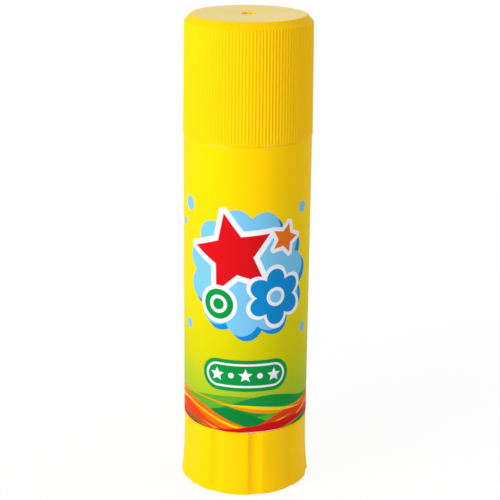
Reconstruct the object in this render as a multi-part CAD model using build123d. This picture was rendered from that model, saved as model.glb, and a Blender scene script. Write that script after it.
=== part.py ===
from build123d import *
import os
from math import asin, cos, pi, radians, sin

# Glue stick: a ribbed push-on cap, a label, a barrel with a stepped neck, a fluted base that
# turns, a lead screw, and the cup that the screw drives up the barrel with its stick of glue.
# Millimetres, +Z up, origin at the middle of the foot, -Y to the front.

# Driving dimensions of the whole stick
label_radius = 13.0
base_height = 13.9
turning_gap = 0.1
body_length = 60.5
neck_height = 15.1
cap_height = 24.0

# Label: a film wrapped round the barrel, a little short of both its ends
label_thickness = 0.1
label_margin = 0.05

# Cap: outer form
cap_proud = 0.1
cap_draft = 0.24
cap_chamfer_out = 1.3
cap_chamfer_down = 1.38
rib_count = 122
rib_depth = 0.2
gate_radius = 1.5
gate_depth = 0.5

# Cap: inside
cap_wall = 1.15
cap_top_wall = 1.5
seal_wall = 0.8
seal_entry = 2.0
seal_clearance = 0.15

# Barrel: neck, wall and floor
neck_clearance = 0.15
neck_wall = 0.95
body_wall = 1.3
neck_cone_height = 1.5
floor_thickness = 1.7
spigot_depth = 4.5
spigot_wall = 1.1
spigot_clearance = 0.15

# Barrel: ribs that guide the cup, two of them taller as keys
guide_count = 4
guide_width = 0.9
key_every = 2
key_stand = 0.6
key_below_mouth = 3.5
key_clearance = 0.15

# Twist base: fluted skirt
base_top_inset = 0.05
base_flare = 0.7
base_flare_power = 3
base_edge_chamfer = 0.4
lobe_count = 10
flute_width = 3.0
flute_depth = 0.4
first_flute_angle = -80.5
base_flare_steps = 3

# Twist base: inside and underside
base_floor = 1.6
foot_recess = 0.8
foot_recess_radius = 10.4
base_skirt_wall = 1.15
hub_wall = 1.6
web_count = 6
web_width = 1.0
web_height = 5.9

# Lead screw, as its envelope over the thread's crests
screw_radius = 3.0
screw_lead = 6.0
journal_radius = 3.15
journal_clearance = 0.08
flange_radius = 4.4
flange_height = 1.1
barb_stand = 0.6
barb_gap = 0.1
barb_height = 1.2
tail_flats = 5.2
tail_clearance = 0.05

# Carrier: the cup and its nut
glue_clearance = 0.15
carrier_rest_gap = 0.3
carrier_floor = 1.5
carrier_skirt_height = 9.0
carrier_skirt_wall = 1.3
carrier_stays_in = 7.0
nut_height = 11.0
nut_wall = 1.6
nut_clearance = 0.2
nut_left_on_screw = 5.0
barb_recess_clearance = 0.4
cup_web_count = 4
cup_web_width = 0.9
cup_web_below_rim = 3.0

# Glue
glue_below_mouth = 5.0
glue_bore_clearance = 0.4
glue_over_screw = 1.2

overrun = 1.0

# Radii, from the outside in
barrel_radius = label_radius - label_thickness
cap_rim_radius = label_radius + cap_proud
cap_bore_radius = cap_rim_radius - rib_depth - cap_wall
neck_radius = cap_bore_radius - neck_clearance
neck_bore_radius = neck_radius - neck_wall
body_bore_radius = barrel_radius - body_wall
key_tip_radius = neck_bore_radius - key_stand
glue_radius = neck_bore_radius - glue_clearance
cup_inner_radius = glue_radius - carrier_skirt_wall
seal_radius = neck_bore_radius - seal_clearance
base_top_radius = label_radius - base_top_inset
socket_radius = base_top_radius - flute_depth - base_skirt_wall
spigot_radius = socket_radius - spigot_clearance
tail_corner_radius = tail_flats / 2 / cos(pi / 6)
hub_radius = tail_corner_radius + hub_wall
barb_radius = journal_radius + barb_stand
nut_bore_radius = screw_radius + nut_clearance
nut_radius = nut_bore_radius + nut_wall

# Heights, from the foot up
barrel_bottom = base_height + turning_gap
floor_top = barrel_bottom + floor_thickness
shoulder_z = barrel_bottom + body_length
mouth_z = shoulder_z + neck_height
cap_top_z = shoulder_z + cap_height
cap_ceiling_z = cap_top_z - cap_top_wall
base_floor_top = foot_recess + base_floor
hub_top = base_height - flange_height
carrier_bottom = floor_top + carrier_rest_gap
carrier_rim = carrier_bottom + carrier_skirt_height
nut_top = carrier_bottom + nut_height
travel = mouth_z - carrier_stays_in - carrier_rim
glue_top = mouth_z - glue_below_mouth
barb_bottom = floor_top + barb_gap
barb_top = barb_bottom + barb_height
recess_top = barb_top + barb_recess_clearance
screw_top = recess_top + travel + nut_left_on_screw


def turned(points):
    """A solid of revolution about Z from its (radius, height) outline."""
    outline = [(radius, 0, height) for radius, height in points]
    return revolve(make_face(Polyline(outline, close=True)), Axis.Z)


def disc(radius, low, high):
    """A plain round bar about Z between two heights."""
    return Pos(0, 0, low) * Cylinder(radius, high - low, align=(Align.CENTER, Align.CENTER, Align.MIN))


def fin(width, inner, outer, low, high, angle):
    """A radial bar from one radius to another, turned to an angle about Z."""
    bar = Box(outer - inner, width, high - low, align=(Align.MIN, Align.CENTER, Align.MIN))
    return Rot(0, 0, angle) * Pos(inner, 0, low) * bar


def cap_crest_radius(height):
    """Radius over the ribs, which draws in from the rim to the chamfer as the mould's draft."""
    return cap_rim_radius - cap_draft * (height - shoulder_z) / (cap_height - cap_chamfer_down)


def rib_star(height):
    """A zigzag face: its inner points are the groove bottoms, its outer points the ribs' crests."""
    crest_radius = cap_crest_radius(height)
    groove_radius = crest_radius * (1 - rib_depth / cap_rim_radius)
    points = []
    for index in range(rib_count):
        groove = 2 * pi * index / rib_count
        crest = groove + pi / rib_count
        for radius, angle in ((groove_radius, groove), (crest_radius, crest)):
            points.append((radius * cos(angle), radius * sin(angle), height))
    return make_face(Polyline(points, close=True))


def make_cap():
    # V ribs that draw in with the mould's draft and run out through the chamfer at the top
    ribbed = loft([rib_star(shoulder_z), rib_star(cap_top_z)], ruled=True)
    corner_z = cap_top_z - cap_chamfer_down
    corner_radius = cap_crest_radius(corner_z)
    flat_radius = corner_radius - cap_chamfer_out
    beyond = cap_rim_radius + overrun
    envelope = turned(
        [
            (0, shoulder_z),
            (beyond, shoulder_z),
            (beyond, corner_z - (beyond - corner_radius) * cap_chamfer_down / cap_chamfer_out),
            (flat_radius, cap_top_z),
            (0, cap_top_z),
        ]
    )
    body = ribbed & envelope

    # Hollow inside, open at the rim, with the ring that seals in the neck's mouth
    body -= disc(cap_bore_radius, shoulder_z - overrun, cap_ceiling_z)
    seal_bottom = mouth_z - seal_entry
    seal_inner = seal_radius - seal_wall
    seal_root = cap_ceiling_z + cap_top_wall / 2
    body += disc(seal_radius, seal_bottom, seal_root) - disc(seal_inner, seal_bottom, cap_ceiling_z)

    # The mould's gate: a small round recess in the middle of the top
    body -= disc(gate_radius, cap_top_z - gate_depth, cap_top_z + overrun)
    return body


def make_barrel():
    spigot_low = barrel_bottom - spigot_depth
    spigot_bore = spigot_radius - spigot_wall
    cone_low = shoulder_z - neck_cone_height
    journal_bore = journal_radius + journal_clearance
    body = turned(
        [
            (spigot_bore, spigot_low),
            (spigot_radius, spigot_low),
            (spigot_radius, barrel_bottom),
            (barrel_radius, barrel_bottom),
            (barrel_radius, shoulder_z),
            (neck_radius, shoulder_z),
            (neck_radius, mouth_z),
            (neck_bore_radius, mouth_z),
            (neck_bore_radius, shoulder_z),
            (body_bore_radius, cone_low),
            (body_bore_radius, floor_top),
            (journal_bore, floor_top),
            (journal_bore, barrel_bottom),
            (spigot_bore, barrel_bottom),
        ]
    )

    # Guide ribs stand in the body's wider bore, and the taller keys run on up the neck
    wall_middle = (neck_bore_radius + neck_radius) / 2
    body_wall_middle = body_bore_radius + body_wall / 2
    guides = []
    for index in range(guide_count):
        angle = 360 * index / guide_count
        guides.append(
            fin(guide_width, neck_bore_radius, body_wall_middle, floor_top, shoulder_z, angle)
        )
        if index % key_every == 0:
            key_top = mouth_z - key_below_mouth
            guides.append(fin(guide_width, key_tip_radius, wall_middle, floor_top, key_top, angle))
    return body + guides


def make_label():
    low = barrel_bottom + label_margin
    high = shoulder_z - label_margin
    return disc(label_radius, low, high) - disc(barrel_radius, low, high)


def fluted_section(crest, height):
    """A ring of wide round lobes with a narrow hollow flute between each two."""
    pitch = 2 * pi / lobe_count
    half_flute = asin(flute_width / 2 / crest)
    arcs = []
    for index in range(lobe_count):
        flute = radians(first_flute_angle) + pitch * index
        for middle, half, depth in (
            (flute, half_flute, flute_depth),
            (flute + pitch / 2, pitch / 2 - half_flute, 0),
        ):
            radii = [crest, crest - depth, crest]
            angles = [middle - half, middle, middle + half]
            points = [(r * cos(a), r * sin(a), height) for r, a in zip(radii, angles)]
            arcs.append(ThreePointArc(*points))
    return make_face(arcs)


def base_crest_radius(height):
    """The skirt flares towards the foot, most of it close to the foot."""
    drop_share = 1 - height / base_height
    return base_top_radius + base_flare * drop_share**base_flare_power


def make_twist_base():
    # The chamfered bottom edge, then the flare up to the seam
    sections = [fluted_section(base_crest_radius(base_edge_chamfer) - base_edge_chamfer, 0)]
    for step in range(base_flare_steps + 1):
        height = base_edge_chamfer + (base_height - base_edge_chamfer) * step / base_flare_steps
        sections.append(fluted_section(base_crest_radius(height), height))
    body = loft(sections, ruled=True)

    # Cored out from above, round the hub and the webs that carry it
    body -= disc(socket_radius, base_floor_top, base_height + overrun)
    hub = disc(hub_radius, base_floor_top, hub_top)
    webs = []
    for index in range(web_count):
        angle = 360 * (index + 1 / 2) / web_count
        webs.append(
            fin(
                web_width,
                tail_corner_radius + hub_wall / 2,
                socket_radius + spigot_clearance,
                base_floor_top,
                base_floor_top + web_height,
                angle,
            )
        )
    body = body + hub + webs

    # Hexagon socket for the screw's tail, and the foot's shallow recess
    socket = RegularPolygon(tail_flats / 2 + tail_clearance, 6, major_radius=False)
    body -= Pos(0, 0, base_floor_top) * extrude(socket, hub_top - base_floor_top + overrun)
    body -= disc(foot_recess_radius, -overrun, foot_recess)
    return body


def make_spindle():
    tail = Pos(0, 0, base_floor_top) * extrude(
        RegularPolygon(tail_flats / 2, 6, major_radius=False), hub_top - base_floor_top
    )
    shaft = turned(
        [
            (0, hub_top),
            (flange_radius, hub_top),
            (flange_radius, base_height),
            (journal_radius, base_height),
            (journal_radius, barb_bottom),
            (barb_radius, barb_bottom),
            (screw_radius, barb_top),
            (screw_radius, screw_top),
            (0, screw_top),
        ]
    )
    return tail + shaft


def make_carrier():
    # A cup with a nut standing in it, and a recess below that clears the screw's barb
    cup = turned(
        [
            (nut_bore_radius, carrier_bottom),
            (glue_radius, carrier_bottom),
            (glue_radius, carrier_rim),
            (cup_inner_radius, carrier_rim),
            (cup_inner_radius, carrier_bottom + carrier_floor),
            (nut_radius, carrier_bottom + carrier_floor),
            (nut_radius, nut_top),
            (nut_bore_radius, nut_top),
        ]
    )
    webs = []
    for index in range(cup_web_count):
        angle = 360 * (index + 1 / 2) / cup_web_count
        webs.append(
            fin(
                cup_web_width,
                nut_radius - nut_wall / 2,
                cup_inner_radius + carrier_skirt_wall / 2,
                carrier_bottom + carrier_floor / 2,
                carrier_rim - cup_web_below_rim,
                angle,
            )
        )
    cup = cup + webs
    cup -= disc(barb_radius + barb_recess_clearance, carrier_bottom - overrun, recess_top)
    cup -= key_slots(carrier_bottom - overrun, carrier_rim + overrun)
    return cup


def key_slots(low, high):
    """The two grooves in the cup and the glue that run on the barrel's keys."""
    slots = []
    for index in range(0, guide_count, key_every):
        angle = 360 * index / guide_count
        slots.append(
            fin(
                guide_width + 2 * key_clearance,
                key_tip_radius - key_clearance,
                neck_bore_radius + overrun,
                low,
                high,
                angle,
            )
        )
    return slots


def make_glue(carrier):
    bore_radius = screw_radius + glue_bore_clearance
    stick = turned(
        [
            (bore_radius, carrier_bottom + carrier_floor),
            (cup_inner_radius, carrier_bottom + carrier_floor),
            (cup_inner_radius, carrier_rim),
            (glue_radius, carrier_rim),
            (glue_radius, glue_top),
            (0, glue_top),
            (0, screw_top + glue_over_screw),
            (bore_radius, screw_top + glue_over_screw),
        ]
    )
    stick -= key_slots(carrier_rim, glue_top + overrun)
    stick -= disc(nut_radius, carrier_bottom, nut_top)
    return stick - carrier


carrier = make_carrier()
pieces = {
    "cap": make_cap(),
    "barrel": make_barrel(),
    "label": make_label(),
    "twist_base": make_twist_base(),
    "spindle": make_spindle(),
    "carrier": carrier,
    "glue": make_glue(carrier),
}

os.makedirs("parts", exist_ok=True)
for name, piece in pieces.items():
    piece.label = name
    export_step(piece, f"parts/{name}.step")

print("travel", round(travel, 3), "turns", round(travel / screw_lead, 3))
print("height", round(cap_top_z, 3), "glue radius", round(glue_radius, 3))
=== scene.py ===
from math import cos, floor, hypot, pi, radians, sin

import bmesh
import bpy
from mathutils import Matrix, Vector


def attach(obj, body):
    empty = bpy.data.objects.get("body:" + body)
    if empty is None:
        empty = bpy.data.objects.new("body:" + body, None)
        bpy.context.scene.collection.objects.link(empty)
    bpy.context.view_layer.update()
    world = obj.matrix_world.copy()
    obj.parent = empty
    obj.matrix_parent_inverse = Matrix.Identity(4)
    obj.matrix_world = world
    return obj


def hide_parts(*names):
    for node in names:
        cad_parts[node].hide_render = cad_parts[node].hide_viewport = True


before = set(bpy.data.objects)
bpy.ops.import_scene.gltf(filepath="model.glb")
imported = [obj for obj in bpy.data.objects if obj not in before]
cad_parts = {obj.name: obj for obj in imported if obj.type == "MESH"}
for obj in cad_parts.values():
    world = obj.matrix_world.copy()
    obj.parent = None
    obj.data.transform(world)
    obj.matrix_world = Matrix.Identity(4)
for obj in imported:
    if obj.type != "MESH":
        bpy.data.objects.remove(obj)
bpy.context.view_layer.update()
scene = bpy.context.scene

# Barrel: the tube that everything else is put on or into. One moulding of yellow polypropylene:
# a body with a thin wall, a narrower neck that the cap pushes on to, a floor that holds the lead
# screw, a spigot that the base turns on, and inside it two low guide ribs and two taller keys.

mm = 0.001
barrel_radius = 12.9
barrel_bottom = 14.0
shoulder_height = 74.5
mouth_height = 89.6
neck_radius = 11.6
neck_bore = 10.65
body_bore = 11.6
cone_bottom = 73.0
floor_top = 15.7
journal_bore = 3.23
spigot_radius = 11.25
spigot_bore = 10.15
spigot_bottom = 9.5
bead_height = 82.1
bead_half_width = 0.6
bead_stand = 0.1
guide_width = 0.9
key_tip = 10.05
key_top = 86.1
guide_end = body_bore + 0.6
key_end = neck_bore + 0.4
wall_edge = 0.12
mouth_edge = 0.4
spigot_edge = 0.3
barrel_steps = 180


def eased(outline):
    """The outline with each corner that has a third value rounded over about that length."""
    corner_steps = 5
    longest_share = 0.45
    points = []
    for index, corner in enumerate(outline):
        if len(corner) == 2:
            points.append(corner)
            continue
        across, up, ease = corner
        ends = []
        for other in (outline[index - 1], outline[(index + 1) % len(outline)]):
            length = hypot(other[0] - across, other[1] - up)
            share = min(ease / length, longest_share)
            ends.append((across + (other[0] - across) * share, up + (other[1] - up) * share))
        for step in range(corner_steps + 1):
            t = step / corner_steps
            weights = ((1 - t) ** 2, 2 * t * (1 - t), t**2)
            trio = (ends[0], (across, up), ends[1])
            points.append(tuple(sum(w * p[axis] for w, p in zip(weights, trio)) for axis in (0, 1)))
    return points


def turned(outline, steps, reach=None):
    """A closed form turned about Z from (radius, height) points; reach may change a radius by angle."""
    form = bmesh.new()
    rings = []
    for radius, height in outline:
        ring = []
        for step in range(steps):
            angle = 2 * pi * step / steps
            out = reach(radius, height, angle) if reach and radius else radius
            ring.append(form.verts.new((out * cos(angle) * mm, out * sin(angle) * mm, height * mm)))
        rings.append(ring)
    for index, ring in enumerate(rings):
        above = rings[(index + 1) % len(rings)]
        for step in range(steps):
            after = (step + 1) % steps
            form.faces.new((ring[step], ring[after], above[after], above[step]))
    bmesh.ops.remove_doubles(form, verts=form.verts, dist=mm * 1e-5)
    return form


def add_fin(form, width, inner, outer, low, high, angle):
    """A radial rib, put into the form as a block that ends inside the walls beside it."""
    place = Matrix.Rotation(angle, 4, "Z") @ Matrix.Translation(
        (((inner + outer) / 2) * mm, 0, ((low + high) / 2) * mm)
    )
    size = Matrix.Diagonal(((outer - inner) * mm, width * mm, (high - low) * mm, 1))
    bmesh.ops.create_cube(form, size=1, matrix=place @ size)


def finished(name, form, material, body, node):
    """Makes the form a shaded piece that rides on its body in place of its CAD node."""
    sharp_angle = radians(38)
    bmesh.ops.recalc_face_normals(form, faces=form.faces)
    mesh = bpy.data.meshes.new(name)
    form.to_mesh(mesh)
    form.free()
    mesh.shade_smooth()
    mesh.set_sharp_from_angle(angle=sharp_angle)
    mesh.materials.append(material)
    piece = bpy.data.objects.new(name, mesh)
    scene.collection.objects.link(piece)
    weighted = piece.modifiers.new("even_shading", "WEIGHTED_NORMAL")
    weighted.keep_sharp = True
    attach(piece, body)
    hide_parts(node)
    return piece


def linear(shade):
    """An sRGB hex colour as the linear colour that a shader takes."""
    parts = [int(shade[start : start + 2], 16) / 255 for start in (1, 3, 5)]
    return tuple(p / 12.92 if p <= 0.04045 else ((p + 0.055) / 1.055) ** 2.4 for p in parts) + (1,)


def add_node(material, kind, sockets=(), **settings):
    """Adds a node with its own settings; each socket takes a value or another node's output."""
    made = material.node_tree.nodes.new(kind)
    for field, value in settings.items():
        setattr(made, field, value)
    for key, value in dict(sockets).items():
        if isinstance(value, bpy.types.NodeSocket):
            material.node_tree.links.new(value, made.inputs[key])
        else:
            made.inputs[key].default_value = value
    return made


def start_material(name):
    material = bpy.data.materials.new(name)
    material.use_nodes = True
    material.node_tree.nodes.clear()
    return material


def moulded_polypropylene(name, shade, worn_shade, gloss_roughness, grain, shine):
    """Injection-moulded polypropylene: a soft satin gloss from the fine spark-eroded grain of the
    mould, and slow changes in colour where the melt flowed. The real grain is finer than this one,
    which is as coarse as it has to be to show."""
    flow_size = 9 * mm
    grit_size = 0.35 * mm
    material = start_material(name)
    place = add_node(material, "ShaderNodeTexCoord").outputs["Object"]
    flow = add_node(material, "ShaderNodeTexNoise", {"Vector": place, "Scale": 1 / flow_size, "Detail": 3})
    colour = add_node(
        material,
        "ShaderNodeMix",
        {0: flow.outputs["Fac"], 6: linear(shade), 7: linear(worn_shade)},
        data_type="RGBA",
    )
    grit = add_node(material, "ShaderNodeTexNoise", {"Vector": place, "Scale": 1 / grit_size, "Detail": 4})
    roughness = add_node(
        material,
        "ShaderNodeMapRange",
        {"Value": grit.outputs["Fac"], "To Min": gloss_roughness - 0.05, "To Max": gloss_roughness + 0.07},
    )
    relief = add_node(
        material,
        "ShaderNodeBump",
        {"Height": grit.outputs["Fac"], "Strength": grain, "Distance": 0.02 * mm},
    )
    plastic = add_node(
        material,
        "ShaderNodeBsdfPrincipled",
        {
            "Base Color": colour.outputs[2],
            "Roughness": roughness.outputs["Result"],
            "Normal": relief.outputs["Normal"],
            "IOR": 1.49,
            "Specular IOR Level": shine,
        },
    )
    add_node(material, "ShaderNodeOutputMaterial", {"Surface": plastic.outputs["BSDF"]})
    return material


barrel_plastic = moulded_polypropylene(
    "yellow_polypropylene_barrel", "#F9CA00", "#F7C400", gloss_roughness=0.48, grain=0.5, shine=0.08
)
barrel_form = turned(
    eased(
        [
            (spigot_bore, spigot_bottom, spigot_edge),
            (spigot_radius, spigot_bottom, spigot_edge),
            (spigot_radius, barrel_bottom),
            (barrel_radius, barrel_bottom, wall_edge),
            (barrel_radius, shoulder_height, wall_edge),
            (neck_radius, shoulder_height),
            (neck_radius, bead_height - bead_half_width),
            (neck_radius + bead_stand, bead_height, bead_half_width),
            (neck_radius, bead_height + bead_half_width),
            (neck_radius, mouth_height, mouth_edge),
            (neck_bore, mouth_height, mouth_edge),
            (neck_bore, shoulder_height),
            (body_bore, cone_bottom),
            (body_bore, floor_top),
            (journal_bore, floor_top),
            (journal_bore, barrel_bottom),
            (spigot_bore, barrel_bottom),
        ]
    ),
    barrel_steps,
)
for quarter in range(4):
    turn = pi / 2 * quarter
    add_fin(barrel_form, guide_width, neck_bore, guide_end, floor_top, shoulder_height, turn)
    if quarter % 2 == 0:
        add_fin(barrel_form, guide_width, key_tip, key_end, floor_top, key_top, turn)
finished("barrel_moulding", barrel_form, barrel_plastic, "barrel", "barrel")

# Label: thin polypropylene film under a matt varnish, printed in yellow that turns green towards the
# base, with paper shapes and ribbons in red, blue, orange and green. It wraps round the barrel once
# and laps over itself by four millimetres at the back, where its cut edge is a fine step.

label_radius = 13.0
label_bottom = 14.05
label_top = 74.45
lap_half_width = 2.0
film_thickness = 0.05
film_steps = 720


def lapped(radius, height, angle):
    """The film is twice as thick where it laps over itself."""
    beside = abs(angle - pi / 2) * label_radius
    return radius + film_thickness if radius > barrel_radius and beside < lap_half_width else radius


# The varnish gives the print a wide, soft sheen, with the film's slight ripple in it
film = start_material("printed_polypropylene_film")
film_place = add_node(film, "ShaderNodeTexCoord").outputs["Object"]
film_axes = add_node(film, "ShaderNodeSeparateXYZ", {"Vector": film_place})
film_back = add_node(film, "ShaderNodeMath", {0: film_axes.outputs["Y"], 1: -1.0}, operation="MULTIPLY")
film_angle = add_node(
    film, "ShaderNodeMath", {0: film_axes.outputs["X"], 1: film_back.outputs[0]}, operation="ARCTAN2"
)
film_across = add_node(
    film, "ShaderNodeMath", {0: film_angle.outputs[0], 1: label_radius}, operation="MULTIPLY"
)
film_up = add_node(film, "ShaderNodeMath", {0: film_axes.outputs["Z"], 1: 1 / mm}, operation="MULTIPLY")

# The ground: stops of height in mm and colour
ground_stops = [
    (20.0, "#94B626"),
    (24.0, "#A7BA1C"),
    (30.0, "#C6C100"),
    (43.0, "#D9C800"),
    (66.0, "#F6C800"),
]
ground_share = add_node(
    film,
    "ShaderNodeMapRange",
    {"Value": film_up.outputs[0], "From Min": barrel_bottom, "From Max": shoulder_height},
)
ground = add_node(film, "ShaderNodeValToRGB", {"Fac": ground_share.outputs["Result"]})
while len(ground.color_ramp.elements) < len(ground_stops):
    ground.color_ramp.elements.new(0.5)
for stop, (height, _) in zip(ground.color_ramp.elements, ground_stops):
    stop.position = (height - barrel_bottom) / (shoulder_height - barrel_bottom)
for stop, (_, shade) in zip(ground.color_ramp.elements, ground_stops):
    stop.color = linear(shade)
print_soft = 0.07


def laid_on(under, distance, grow, shade, share=1.0):
    """Prints a colour over what is under it, where the distance to a shape's edge is below grow."""
    mask = add_node(
        film,
        "ShaderNodeMapRange",
        {
            "Value": distance,
            "From Min": grow + print_soft,
            "From Max": grow - print_soft,
            "To Max": share,
        },
    )
    over = add_node(
        film,
        "ShaderNodeMix",
        {0: mask.outputs["Result"], 6: under, 7: linear(shade)},
        data_type="RGBA",
    )
    return over.outputs[2]


def paper_shape(across, up, radius, points=0, valley=0.0, turn=0.0):
    """Distance in mm outside a disc; with points a star, or with a negative valley a rosette."""
    side = add_node(film, "ShaderNodeMath", {0: film_across.outputs[0], 1: across}, operation="SUBTRACT")
    rise = add_node(film, "ShaderNodeMath", {0: film_up.outputs[0], 1: up}, operation="SUBTRACT")
    spot = add_node(film, "ShaderNodeCombineXYZ", {"X": side.outputs[0], "Y": rise.outputs[0]})
    away = add_node(film, "ShaderNodeVectorMath", {0: spot.outputs[0]}, operation="LENGTH")
    disc = add_node(film, "ShaderNodeMath", {0: away.outputs["Value"], 1: radius}, operation="SUBTRACT")
    if not points:
        return disc.outputs[0]
    half = pi / points
    bearing = add_node(film, "ShaderNodeMath", {0: side.outputs[0], 1: rise.outputs[0]}, operation="ARCTAN2")
    aimed = add_node(film, "ShaderNodeMath", {0: bearing.outputs[0], 1: turn}, operation="ADD")
    fold = add_node(film, "ShaderNodeMath", {0: aimed.outputs[0], 1: half}, operation="PINGPONG")
    if valley < 0:
        wave = add_node(film, "ShaderNodeMath", {0: fold.outputs[0], 1: 2.0}, operation="POWER")
        edge = add_node(
            film,
            "ShaderNodeMath",
            {0: wave.outputs[0], 1: -valley / half**2, 2: disc.outputs[0]},
            operation="MULTIPLY_ADD",
        )
        return edge.outputs[0]
    length = hypot(radius - valley * cos(half), valley * sin(half))
    rest = add_node(film, "ShaderNodeMath", {0: half, 1: fold.outputs[0]}, operation="SUBTRACT")
    tip_sine = add_node(film, "ShaderNodeMath", {0: fold.outputs[0]}, operation="SINE")
    valley_sine = add_node(film, "ShaderNodeMath", {0: rest.outputs[0]}, operation="SINE")
    tip_part = add_node(
        film, "ShaderNodeMath", {0: tip_sine.outputs[0], 1: radius / length}, operation="MULTIPLY"
    )
    both = add_node(
        film,
        "ShaderNodeMath",
        {0: valley_sine.outputs[0], 1: valley / length, 2: tip_part.outputs[0]},
        operation="MULTIPLY_ADD",
    )
    line = add_node(
        film,
        "ShaderNodeMath",
        {0: away.outputs["Value"], 1: both.outputs[0], 2: -radius * valley * sin(half) / length},
        operation="MULTIPLY_ADD",
    )
    star = add_node(film, "ShaderNodeMath", {0: line.outputs[0], 1: disc.outputs[0]}, operation="MAXIMUM")
    return star.outputs[0]


def capsule_shape(across, up, half_length, radius):
    """Distance in mm outside a round-ended bar."""
    side = add_node(film, "ShaderNodeMath", {0: film_across.outputs[0], 1: across}, operation="SUBTRACT")
    size = add_node(film, "ShaderNodeMath", {0: side.outputs[0]}, operation="ABSOLUTE")
    past = add_node(film, "ShaderNodeMath", {0: size.outputs[0], 1: half_length}, operation="SUBTRACT")
    end = add_node(film, "ShaderNodeMath", {0: past.outputs[0], 1: 0.0}, operation="MAXIMUM")
    rise = add_node(film, "ShaderNodeMath", {0: film_up.outputs[0], 1: up}, operation="SUBTRACT")
    spot = add_node(film, "ShaderNodeCombineXYZ", {"X": end.outputs[0], "Y": rise.outputs[0]})
    away = add_node(film, "ShaderNodeVectorMath", {0: spot.outputs[0]}, operation="LENGTH")
    bar = add_node(film, "ShaderNodeMath", {0: away.outputs["Value"], 1: radius}, operation="SUBTRACT")
    return bar.outputs[0]


def ribbon_shape(height, swing, waves, phase, half_width, pinch, pinch_phase):
    """Distance in mm outside a ribbon that swings round the label and thins and swells again; with
    a pinch over one it tapers away and comes back."""
    swells = 3.0
    turn = add_node(
        film, "ShaderNodeMath", {0: film_angle.outputs[0], 1: waves, 2: phase}, operation="MULTIPLY_ADD"
    )
    wave = add_node(film, "ShaderNodeMath", {0: turn.outputs[0]}, operation="SINE")
    middle = add_node(
        film, "ShaderNodeMath", {0: wave.outputs[0], 1: swing, 2: height}, operation="MULTIPLY_ADD"
    )
    off = add_node(
        film, "ShaderNodeMath", {0: film_up.outputs[0], 1: middle.outputs[0]}, operation="SUBTRACT"
    )
    size = add_node(film, "ShaderNodeMath", {0: off.outputs[0]}, operation="ABSOLUTE")
    swell_turn = add_node(
        film,
        "ShaderNodeMath",
        {0: film_angle.outputs[0], 1: swells, 2: pinch_phase},
        operation="MULTIPLY_ADD",
    )
    swell = add_node(film, "ShaderNodeMath", {0: swell_turn.outputs[0]}, operation="SINE")
    width = add_node(
        film,
        "ShaderNodeMath",
        {0: swell.outputs[0], 1: half_width * pinch, 2: half_width},
        operation="MULTIPLY_ADD",
    )
    edge = add_node(film, "ShaderNodeMath", {0: size.outputs[0], 1: width.outputs[0]}, operation="SUBTRACT")
    return edge.outputs[0]


printed = ground.outputs["Color"]

# Ribbons round the foot of the label, from the field under them to the fine lines on top
for height, swing, waves, phase, half_width, pinch, pinch_phase, shade in (
    (12.0, 1.0, 2.0, 1.9, 9.0, 0.0, 0.0, "#55A028"),
    (18.4, 1.7, 2.0, 0.5, 1.5, 0.5, 1.0, "#0A8A3A"),
    (15.9, 1.2, 3.0, 2.4, 1.3, 0.6, 2.6, "#067A34"),
    (19.6, 1.3, 2.0, 3.4, 0.35, 0.6, 0.4, "#E08A10"),
    (16.4, 2.3, 2.0, 4.3, 1.35, 0.45, 3.6, "#DE6410"),
    (15.4, 1.6, 3.0, 5.2, 1.0, 0.5, 5.4, "#D43A14"),
    (16.6, 2.3, 2.0, 4.1, 0.22, 0.4, 1.6, "#EDBE06"),
    (15.2, 1.5, 3.0, 5.2, 0.2, 1.4, 1.5, "#EDB806"),
    (14.7, 0.9, 2.0, 5.6, 0.75, 0.5, 0.9, "#C60E14"),
    (18.9, 1.1, 2.0, 2.2, 0.16, 1.4, 0.5, "#EFC810"),
):
    ribbon = ribbon_shape(height, swing, waves, phase, half_width, pinch, pinch_phase)
    printed = laid_on(printed, ribbon, 0.0, shade)

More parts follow.
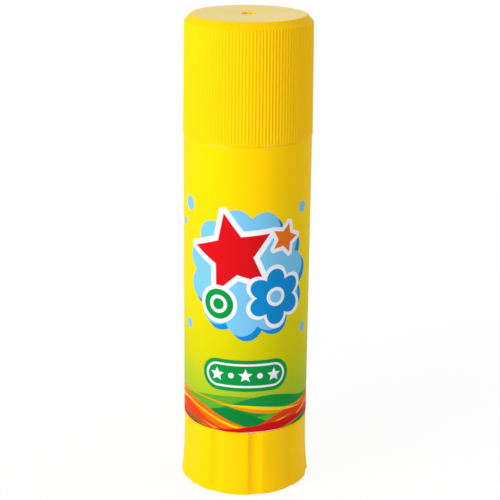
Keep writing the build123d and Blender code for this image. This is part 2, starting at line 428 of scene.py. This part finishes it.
# Paper shapes, each printed once for every border, from the widest to its own edge: the large group
# is on the front, and a small one is at each side of the back
red, white, pale_blue, blue, green, orange = "#CB0C14", "#E4E6EC", "#72B8E0", "#0A82C4", "#048A3C", "#DC6A14"
for across, up, radius, points, valley, turn, borders in (
    (1.0, 47.6, 13.4, 11, -2.0, 0.2, [(0.0, blue)]),
    (0.0, 48.6, 13.4, 11, -2.0, 0.2, [(0.0, pale_blue)]),
    (-13.8, 61.4, 1.5, 0, 0.0, 0.0, [(0.0, pale_blue)]),
    (-16.4, 57.0, 0.9, 0, 0.0, 0.0, [(0.0, pale_blue)]),
    (13.2, 61.0, 1.2, 0, 0.0, 0.0, [(0.0, pale_blue)]),
    (14.2, 35.0, 1.1, 0, 0.0, 0.0, [(0.0, pale_blue)]),
    (-14.2, 35.6, 1.1, 0, 0.0, 0.0, [(0.0, pale_blue)]),
    (-29.0, 41.0, 6.4, 9, -1.2, 0.5, [(0.0, pale_blue)]),
    (30.0, 53.0, 6.4, 9, -1.2, 0.1, [(0.0, pale_blue)]),
    (-29.0, 54.5, 1.4, 0, 0.0, 0.0, [(0.0, pale_blue)]),
    (30.0, 38.5, 1.4, 0, 0.0, 0.0, [(0.0, pale_blue)]),
    (-2.8, 52.4, 8.8, 5, 4.2, 0.22, [(1.1, white), (0.0, red)]),
    (6.2, 43.4, 5.9, 6, -1.9, 0.0, [(0.9, white), (0.0, blue)]),
    (6.2, 43.4, 2.0, 0, 0.0, 0.0, [(0.0, white), (-0.7, pale_blue)]),
    (-5.8, 41.8, 3.2, 0, 0.0, 0.0, [(0.8, white), (0.0, green), (-1.3, white), (-2.0, green)]),
    (8.2, 55.4, 3.2, 5, 1.6, -0.3, [(0.8, white), (0.0, orange)]),
    (-29.0, 41.0, 4.0, 5, 1.9, 0.3, [(0.8, white), (0.0, orange)]),
    (30.0, 53.0, 3.4, 6, -1.0, 0.0, [(0.8, white), (0.0, blue)]),
    (30.0, 53.0, 1.1, 0, 0.0, 0.0, [(0.0, white)]),
):
    shape = paper_shape(across, up, radius, points, valley, turn)
    for grow, shade in borders:
        printed = laid_on(printed, shape, grow, shade)

# The bar under them, with its border and a row of three stars and two dots
bar_height = 26.6
bar_half_length = 5.9
bar_radius = 2.6
star_spacing = 3.0
star_valley = 0.7
bar = capsule_shape(0.0, bar_height, bar_half_length, bar_radius)
for grow, shade in ((0.85, green), (0.0, white), (-0.45, green)):
    printed = laid_on(printed, bar, grow, shade)
for place, (radius, points) in enumerate(((1.5, 5), (0.6, 0), (1.5, 5), (0.6, 0), (1.5, 5))):
    spot = paper_shape(star_spacing * (place - 2), bar_height, radius, points, star_valley)
    printed = laid_on(printed, spot, 0.0, white)

# A thin, uneven white line is printed at the film's two cut ends, wider at the lower one: a painted
# highlight along the cap's rim and the top of the base, drawn as unprinted white film
margin = 0.11
overprint = 0.1
drift_size = 11 * mm
drift = add_node(film, "ShaderNodeTexNoise", {"Vector": film_place, "Scale": 1 / drift_size, "Detail": 1})
uneven = add_node(
    film,
    "ShaderNodeMapRange",
    {
        "Value": drift.outputs["Fac"],
        "From Min": 0.4,
        "From Max": 0.6,
        "To Min": -margin,
        "To Max": margin,
    },
)
print_top = label_top + overprint
middle_up = (label_bottom + print_top) / 2
half_up = (print_top - label_bottom) / 2
from_middle = add_node(film, "ShaderNodeMath", {0: film_up.outputs[0], 1: middle_up}, operation="SUBTRACT")
up_or_down = add_node(film, "ShaderNodeMath", {0: from_middle.outputs[0]}, operation="ABSOLUTE")
to_end = add_node(film, "ShaderNodeMath", {0: half_up, 1: up_or_down.outputs[0]}, operation="SUBTRACT")
painted_edge_highlight = add_node(
    film, "ShaderNodeMath", {0: to_end.outputs[0], 1: uneven.outputs["Result"]}, operation="SUBTRACT"
)
# Painted highlight: the white line along the film's two cut ends
printed = laid_on(printed, painted_edge_highlight.outputs[0], 0.0, "#F4F4F2")

ripple_size = 6 * mm
varnish_grain = 0.5 * mm
film_wave = add_node(
    film, "ShaderNodeTexNoise", {"Vector": film_place, "Scale": 1 / ripple_size, "Detail": 2}
)
film_grain = add_node(
    film, "ShaderNodeTexNoise", {"Vector": film_place, "Scale": 1 / varnish_grain, "Detail": 3}
)
film_rough = add_node(
    film, "ShaderNodeMapRange", {"Value": film_grain.outputs["Fac"], "To Min": 0.5, "To Max": 0.62}
)
film_relief = add_node(
    film, "ShaderNodeBump", {"Height": film_wave.outputs["Fac"], "Strength": 0.25, "Distance": 0.05 * mm}
)
film_shader = add_node(
    film,
    "ShaderNodeBsdfPrincipled",
    {
        "Base Color": printed,
        "Roughness": film_rough.outputs["Result"],
        "Normal": film_relief.outputs["Normal"],
        "IOR": 1.5,
        "Specular IOR Level": 0.06,
    },
)
add_node(film, "ShaderNodeOutputMaterial", {"Surface": film_shader.outputs["BSDF"]})
label_form = turned(
    [
        (barrel_radius + 0.01, label_bottom),
        (label_radius, label_bottom),
        (label_radius, label_top),
        (barrel_radius + 0.01, label_top),
    ],
    film_steps,
    lapped,
)
finished("printed_label", label_form, film, "barrel", "label")

# Lead screw: natural white polypropylene, moulded with a left-hand thread of one wide ridge that
# climbs six millimetres a turn. Its barb snaps up through the barrel's floor, its flange runs under
# the floor, and its hexagon tail is pressed into the base.

screw_lead = 6.0
screw_core = 2.2
screw_crest = 3.0
ridge_root = 2.8
ridge_crest = 1.6
thread_start = 17.6
thread_end = 79.6
screw_top = 80.0
tail_bottom = 2.4
tail_flats = 5.2
hub_top = 12.8
base_top = 13.9
flange_radius = 4.4
screw_journal = 3.15
barb_radius = 3.75
barb_bottom = 15.8
barb_top = 17.0
barb_land = 0.3
shaft_bottom = barb_top + 0.05
tip_ease = 0.4
thread_row = 0.25
thread_run_in = 0.8
screw_steps = 72


def ridge_share(height, angle, root, crest, shift):
    """How far a point stands up the flanks of the helical ridge, from nought to one."""
    phase = height / screw_lead + angle / (2 * pi) + shift
    off = abs(phase - floor(phase) - 0.5) * screw_lead
    return min(1.0, max(0.0, (root / 2 - off) / ((root - crest) / 2)))


def faded(height, low, high, run):
    """Nought outside two heights and one between them, with a run-in at each."""
    return min(1.0, max(0.0, min(height - low, high - height) / run))


def threaded(radius, height, angle):
    """Gives the tail its flats and the shaft its thread."""
    if height <= hub_top and radius < screw_journal:
        return tail_flats / 2 / cos(angle % (pi / 3) - pi / 6)
    if radius > screw_core or height <= barb_top:
        return radius
    run_in = faded(height, thread_start, thread_end, thread_run_in)
    rise = ridge_share(height, angle, ridge_root, ridge_crest, 0.0) * run_in
    return radius + (screw_crest - screw_core) * rise


screw_rows = int((screw_top - barb_top) / thread_row)
screw_outline = [
    (0, tail_bottom),
    (tail_flats / 2, tail_bottom),
    (tail_flats / 2, hub_top),
    (flange_radius, hub_top),
    (flange_radius, base_top),
    (screw_journal, base_top),
    (screw_journal, barb_bottom),
    (barb_radius, barb_bottom),
    (barb_radius, barb_bottom + barb_land),
    (screw_core + 0.001, barb_top),
]
screw_outline += [(screw_core, shaft_bottom + thread_row * row) for row in range(screw_rows)]
screw_outline += [(screw_core - tip_ease, screw_top), (0, screw_top)]
white_plastic = moulded_polypropylene(
    "natural_polypropylene", "#EDECE4", "#E6E4DA", gloss_roughness=0.38, grain=0.4, shine=0.5
)
finished(
    "lead_screw",
    turned(screw_outline, screw_steps, threaded),
    white_plastic,
    "twist_base",
    "spindle",
)

# Twist base: the yellow polypropylene foot that is turned to raise the glue. Ten wide lobes with a
# narrow hollow flute between each two make its grip, and its skirt flares close to the foot. A hub
# on six webs inside it holds the screw's tail, and its underside is recessed inside a flat ring.

base_top_radius = 12.95
base_flare = 0.63
base_edge_round = 0.22
base_edge_steps = 8
base_top_ease = 0.12
lobe_count = 10
flute_width = 3.0
flute_depth = 0.4
flute_ease = 0.05
flute_foot_share = 0.5
flute_run_out = 1.6
first_flute = radians(-80.5)
socket_radius = 11.4
base_floor_top = 2.4
hub_radius = 4.6
foot_recess = 0.8
foot_recess_radius = 10.4
foot_inner_edge = 0.15
socket_edge = 0.1
socket_flats = tail_flats / 2 + 0.05
skirt_middle = socket_radius + 0.2
web_width = 1.0
web_height = 5.9
web_start = hub_radius - 0.4
skirt_rows = 24
skirt_crowding = 1.5
base_steps = 720


def base_crest(height):
    """The skirt's radius over the lobes, which grows towards the foot, most of it close to it."""
    return base_top_radius + base_flare * (1 - height / base_top) ** 3


def fluted(radius, height, angle):
    """Sinks the flutes into the skirt, with their two edges eased and shallower near the foot."""
    if radius < skirt_middle:
        return radius
    pitch = 2 * pi / lobe_count
    from_flute = (angle - first_flute) % pitch
    off = min(from_flute, pitch - from_flute) * radius / (flute_width / 2)
    share = min(1.0, flute_foot_share + (1 - flute_foot_share) * height / flute_run_out)
    depth = flute_depth * share * (1 - off**2)
    return radius - (depth + hypot(depth, flute_ease)) / 2


edge_crest = base_crest(base_edge_round)
base_outline = [
    (0, foot_recess),
    (foot_recess_radius - 0.3, foot_recess),
    (foot_recess_radius, foot_recess - 0.2),
    (foot_recess_radius, foot_inner_edge),
    (foot_recess_radius + foot_inner_edge, 0),
]
for step in range(base_edge_steps + 1):
    turn = pi / 2 * step / base_edge_steps
    base_outline.append((edge_crest - base_edge_round * (1 - sin(turn)), base_edge_round * (1 - cos(turn))))
skirt_height = base_top - base_top_ease - base_edge_round
for step in range(1, skirt_rows + 1):
    height = base_edge_round + skirt_height * (step / skirt_rows) ** skirt_crowding
    base_outline.append((base_crest(height), height))
base_outline += [
    (base_top_radius - 0.03, base_top - 0.04),
    (base_top_radius - base_top_ease, base_top),
    (socket_radius + socket_edge, base_top),
    (socket_radius, base_top - socket_edge),
    (socket_radius, base_floor_top),
    (hub_radius, base_floor_top),
    (hub_radius, hub_top),
    (socket_flats, hub_top),
    (socket_flats, base_floor_top),
    (0, base_floor_top),
]


def base_section(radius, height, angle):
    """The flutes outside, and the socket's six flats inside the hub."""
    if radius < screw_journal and height > foot_recess:
        return radius / cos(angle % (pi / 3) - pi / 6)
    return fluted(radius, height, angle)


base_plastic = moulded_polypropylene(
    "yellow_polypropylene_base", "#F9CA00", "#F7C400", gloss_roughness=0.5, grain=0.6, shine=0.07
)
base_form = turned(base_outline, base_steps, base_section)
for web in range(6):
    add_fin(
        base_form,
        web_width,
        web_start,
        skirt_middle,
        base_floor_top,
        base_floor_top + web_height,
        pi / 3 * (web + 0.5),
    )
finished("twist_base_moulding", base_form, base_plastic, "twist_base", "twist_base")

# Carrier: the cup of white polypropylene that climbs the screw. It holds the foot of the glue, its
# nut has one turn and a half of the matching ridge inside, four webs stiffen it, and two grooves
# down its side slide on the barrel's keys, so that it can't turn.

carrier_bottom = 16.0
carrier_rim = 25.0
carrier_floor = 17.5
glue_radius = 10.5
cup_inner = 9.2
nut_radius = 4.8
nut_bore = 3.2
nut_top = 27.0
nut_tip = 2.4
recess_radius = 4.15
recess_top = 17.4
nut_root = 4.1
nut_crest = 2.9
groove_half_width = 0.6
groove_bottom = 9.9
cup_web_width = 0.9
cup_web_start = nut_radius - 0.8
cup_web_end = cup_inner + 0.65
cup_web_bottom = carrier_floor - 0.7
cup_web_top = 22.0
nut_run_in = 0.6
carrier_steps = 360


def grooved(radius, angle):
    """Cuts the two grooves for the barrel's keys, on the +X and the -X side."""
    beside = abs(sin(angle)) * radius
    return min(radius, groove_bottom) if beside < groove_half_width else radius


def carrier_section(radius, height, angle):
    """The key grooves outside and the nut's ridge inside."""
    if radius > nut_bore + 0.001:
        return grooved(radius, angle)
    run_in = faded(height, recess_top, nut_top, nut_run_in)
    rise = ridge_share(height, angle, nut_root, nut_crest, 0.5) * run_in
    return radius - (nut_bore - nut_tip) * rise


nut_rows = int((nut_top - recess_top) / thread_row)
carrier_outline = eased(
    [
        (recess_radius, carrier_bottom),
        (glue_radius, carrier_bottom, 0.2),
        (glue_radius, carrier_rim, 0.15),
        (cup_inner, carrier_rim, 0.15),
        (cup_inner, carrier_floor),
        (nut_radius, carrier_floor),
        (nut_radius, nut_top, 0.2),
    ]
)
carrier_outline += [(nut_bore, nut_top - thread_row * row) for row in range(nut_rows + 1)]
carrier_outline += [(nut_bore, recess_top), (recess_radius, recess_top)]
carrier_form = turned(carrier_outline, carrier_steps, carrier_section)
for web in range(4):
    add_fin(
        carrier_form,
        cup_web_width,
        cup_web_start,
        cup_web_end,
        cup_web_bottom,
        cup_web_top,
        pi / 2 * (web + 0.5),
    )
finished("carrier_cup", carrier_form, white_plastic, "carrier", "carrier")

# Glue: a cast stick of white solid adhesive, waxy and a little translucent. It sits in the cup and
# round the screw, its end is smooth with a softened edge, and the keys have left two grooves in it.

glue_top = 84.6
glue_bore = 3.4
bore_top = 81.2
glue_edge = 1.1
glue_room = 0.05
glue_steps = 360

# The wax in it gives a cloudy sheen, and light goes a little way in
glue_paste = start_material("solid_adhesive")
glue_place = add_node(glue_paste, "ShaderNodeTexCoord").outputs["Object"]
cloud_size = 4 * mm
glue_cloud = add_node(
    glue_paste, "ShaderNodeTexNoise", {"Vector": glue_place, "Scale": 1 / cloud_size, "Detail": 4}
)
glue_colour = add_node(
    glue_paste,
    "ShaderNodeMix",
    {0: glue_cloud.outputs["Fac"], 6: linear("#F6F3EA"), 7: linear("#ECE7DA")},
    data_type="RGBA",
)
glue_rough = add_node(
    glue_paste, "ShaderNodeMapRange", {"Value": glue_cloud.outputs["Fac"], "To Min": 0.34, "To Max": 0.55}
)
glue_relief = add_node(
    glue_paste,
    "ShaderNodeBump",
    {"Height": glue_cloud.outputs["Fac"], "Strength": 0.3, "Distance": 0.08 * mm},
)
glue_shader = add_node(
    glue_paste,
    "ShaderNodeBsdfPrincipled",
    {
        "Base Color": glue_colour.outputs[2],
        "Roughness": glue_rough.outputs["Result"],
        "Normal": glue_relief.outputs["Normal"],
        "IOR": 1.46,
        "Subsurface Weight": 0.4,
        "Subsurface Radius": (1.0, 0.9, 0.7),
        "Subsurface Scale": 2 * mm,
    },
)
add_node(glue_paste, "ShaderNodeOutputMaterial", {"Surface": glue_shader.outputs["BSDF"]})
glue_form = turned(
    eased(
        [
            (glue_bore, carrier_floor + glue_room),
            (cup_inner - glue_room, carrier_floor + glue_room),
            (cup_inner - glue_room, carrier_rim),
            (glue_radius, carrier_rim),
            (glue_radius, glue_top, glue_edge),
            (0, glue_top),
            (0, bore_top),
            (glue_bore, bore_top),
        ]
    ),
    glue_steps,
    lambda radius, height, angle: grooved(radius, angle) if height > carrier_rim - 0.01 else radius,
)
finished("glue_stick_cast", glue_form, glue_paste, "carrier", "glue")

# Cap: yellow polypropylene, pushed on to the neck. Fine ribs start just over its rim and run out
# through the chamfer at its top. A small recess with the gate's nub marks the middle of the top, and
# a thin ring inside seals the neck's mouth so that the glue doesn't dry.

cap_top = 98.5
cap_rim_radius = 13.1
cap_draft = 0.24
cap_corner = 97.12
cap_flat_radius = 11.56
chamfer_inset = 0.02
flat_run = 0.3
cap_lip = 0.35
rib_count = 122
rib_depth = 0.12
rib_steps = 10
rib_run_in = 0.15
cap_bore = 11.75
cap_wall_middle = cap_bore + 0.3
lead_in_width = 0.25
lead_in_height = 0.3
cap_ceiling = 97.0
seal_radius = 10.5
seal_inner = 9.7
seal_bottom = 87.6
gate_radius = 1.5
gate_depth = 0.5
gate_nub_radius = 0.4
gate_nub_height = 0.49


def cap_crest(height):
    """Radius over the ribs, which draws in with the mould's draft."""
    return cap_rim_radius - cap_draft * (height - shoulder_height) / (cap_corner - shoulder_height)


def ribbed(radius, height, angle):
    """Cuts the grooves into the cap's side, from the lip to where the chamfer meets them."""
    if radius < cap_wall_middle or height < shoulder_height + cap_lip:
        return radius
    run_in = min(1.0, (height - shoulder_height - cap_lip) / rib_run_in)
    groove = rib_depth * run_in * (0.5 + 0.5 * cos(rib_count * angle))
    return min(radius, cap_crest(height) - groove)


cap_corner_radius = cap_crest(cap_corner)
chamfer_slope = (cap_corner_radius - cap_flat_radius) / (cap_top - cap_corner)
cap_outline = [
    (cap_bore + lead_in_width, shoulder_height),
    (cap_rim_radius - 0.05, shoulder_height),
    (cap_rim_radius - 0.01, shoulder_height + 0.02),
    (cap_rim_radius, shoulder_height + 0.05),
]

# Rows up the side and then up the chamfer, close together where the ribs begin and end
for rise in (0.35, 0.4, 0.45, 0.5, 8.0, 16.0, 22.3, 22.45, 22.55):
    cap_outline.append((cap_crest(shoulder_height + rise), shoulder_height + rise))
for rise in (0.0, 0.06, 0.12, 0.18, 0.24, 0.3, 0.5, 0.9):
    cap_outline.append((cap_corner_radius - chamfer_inset - chamfer_slope * rise, cap_corner + rise))
cap_outline += eased(
    [
        (cap_flat_radius + flat_run, cap_top - flat_run / chamfer_slope),
        (cap_flat_radius, cap_top, 0.28),
        (cap_flat_radius - 0.5, cap_top),
        (gate_radius, cap_top, 0.04),
        (gate_radius, cap_top - gate_depth, 0.12),
        (gate_nub_radius, cap_top - gate_depth, 0.08),
        (gate_nub_radius - 0.1, cap_top - gate_depth + gate_nub_height, 0.02),
        (0, cap_top - gate_depth + gate_nub_height),
        (0, cap_ceiling),
        (seal_inner, cap_ceiling),
        (seal_inner, seal_bottom, 0.2),
        (seal_radius, seal_bottom, 0.4),
        (seal_radius, cap_ceiling),
        (cap_bore, cap_ceiling),
        (cap_bore, shoulder_height + lead_in_height),
    ]
)
cap_plastic = moulded_polypropylene(
    "yellow_polypropylene_cap", "#F9C700", "#F7C100", gloss_roughness=0.48, grain=0.6, shine=0.08
)
cap_form = turned(cap_outline, rib_count * rib_steps, ribbed)
cap_piece = finished("cap_moulding", cap_form, cap_plastic, "cap", "cap")

# The mould's end is polished, so the top is glossier than the ribbed side. Its yellow is also set less red
# than the side's: painted light, for how the light falls on the top
polished_painted_light_band = 0.02
polished_top_painted_light = moulded_polypropylene(
    "yellow_polypropylene_polished_top_painted_light", "#EED000", "#ECCB00", gloss_roughness=0.24, grain=0.3, shine=0.2
)
# The top faces take the glossier material with the painted-light yellow
cap_piece.data.materials.append(polished_top_painted_light)
for face in cap_piece.data.polygons:
    if face.center.z > (cap_top - polished_painted_light_band) * mm:
        face.material_index = 1

# Floor and light: a pale sweep that is white to the camera and keeps a faint shadow near the stick,
# a large soft box at the front left, a weak panel at the back right, and an even white surround.

floor_size = 3.0
floor_drop = 0.01 * mm
floor_glow = 0.93
shadow_near = 0.03
shadow_far = 0.25


def white_to(material):
    """One for the rays that look at the surround straight, in a mirror or through something."""
    path = add_node(material, "ShaderNodeLightPath")
    seen = path.outputs["Is Camera Ray"]
    for kind in ("Is Glossy Ray", "Is Transmission Ray"):
        seen = add_node(
            material, "ShaderNodeMath", {0: seen, 1: path.outputs[kind]}, operation="MAXIMUM"
        ).outputs[0]
    return seen


floor_paint = start_material("pale_sweep")
matt = add_node(floor_paint, "ShaderNodeBsdfDiffuse", {"Color": linear("#F4F4F4")})
glow = add_node(floor_paint, "ShaderNodeEmission", {"Color": (1, 1, 1, 1), "Strength": 1.0})
floor_place = add_node(floor_paint, "ShaderNodeTexCoord").outputs["Object"]
from_stick = add_node(floor_paint, "ShaderNodeVectorMath", {0: floor_place}, operation="LENGTH")
spread = add_node(
    floor_paint,
    "ShaderNodeMapRange",
    {
        "Value": from_stick.outputs["Value"],
        "From Min": shadow_near,
        "From Max": shadow_far,
        "To Min": floor_glow,
    },
    interpolation_type="SMOOTHSTEP",
)
glow_share = add_node(
    floor_paint,
    "ShaderNodeMath",
    {0: white_to(floor_paint), 1: spread.outputs["Result"]},
    operation="MULTIPLY",
)
sweep = add_node(
    floor_paint, "ShaderNodeMixShader", {0: glow_share.outputs[0], 1: matt.outputs[0], 2: glow.outputs[0]}
)
add_node(floor_paint, "ShaderNodeOutputMaterial", {"Surface": sweep.outputs[0]})
floor_mesh = bpy.data.meshes.new("floor")
half_floor = floor_size / 2
floor_signs = ((-1, -1), (1, -1), (1, 1), (-1, 1))
floor_corners = [(x * half_floor, y * half_floor, -floor_drop) for x, y in floor_signs]
floor_mesh.from_pydata(floor_corners, [], [(0, 1, 2, 3)])
floor_mesh.materials.append(floor_paint)
floor_sheet = bpy.data.objects.new("floor", floor_mesh)
scene.collection.objects.link(floor_sheet)

world = bpy.data.worlds.new("studio")
world.use_nodes = True
world.node_tree.nodes.clear()
scene.world = world
even_level = 0.57
level = add_node(world, "ShaderNodeMath", {0: white_to(world), 1: even_level}, operation="MAXIMUM")
sky = add_node(world, "ShaderNodeBackground", {"Color": (1, 1, 1, 1), "Strength": level.outputs[0]})
add_node(world, "ShaderNodeOutputWorld", {"Surface": sky.outputs[0]})

target_height = 49.475 * mm
target = Vector((0, 0, target_height))
for name, side_angle, away, height, size, power in (
    ("key_softbox", -49.0, 0.47, 0.25, 0.30, 2.2),
    ("side_panel", 115.0, 0.47, 0.20, 0.30, 0.45),
):
    place = Vector((away * sin(radians(side_angle)), -away * cos(radians(side_angle)), height))
    lamp = bpy.data.lights.new(name, "AREA")
    lamp.shape = "SQUARE"
    lamp.size = size
    lamp.energy = power
    light = bpy.data.objects.new(name, lamp)
    light.location = place
    light.rotation_mode = "QUATERNION"
    light.rotation_quaternion = (target - place).to_track_quat("-Z", "Y")
    light.visible_glossy = False
    scene.collection.objects.link(light)

camera_data = bpy.data.cameras.new("camera")
camera_data.lens = 104.83
camera_data.sensor_width = 36
camera = bpy.data.objects.new("camera", camera_data)
scene.collection.objects.link(camera)
camera_elevation = radians(17.753)
camera_roll = radians(-0.5828)
camera_yaw = radians(0.13)
camera_distance = 302.0 * mm
camera.location = target + camera_distance * Vector((0, -cos(camera_elevation), sin(camera_elevation)))
camera.rotation_euler = (
    Matrix.Rotation(pi / 2 - camera_elevation, 3, "X")
    @ Matrix.Rotation(-camera_yaw, 3, "Y")
    @ Matrix.Rotation(-camera_roll, 3, "Z")
).to_euler()
scene.camera = camera
scene.view_settings.view_transform = "Standard"
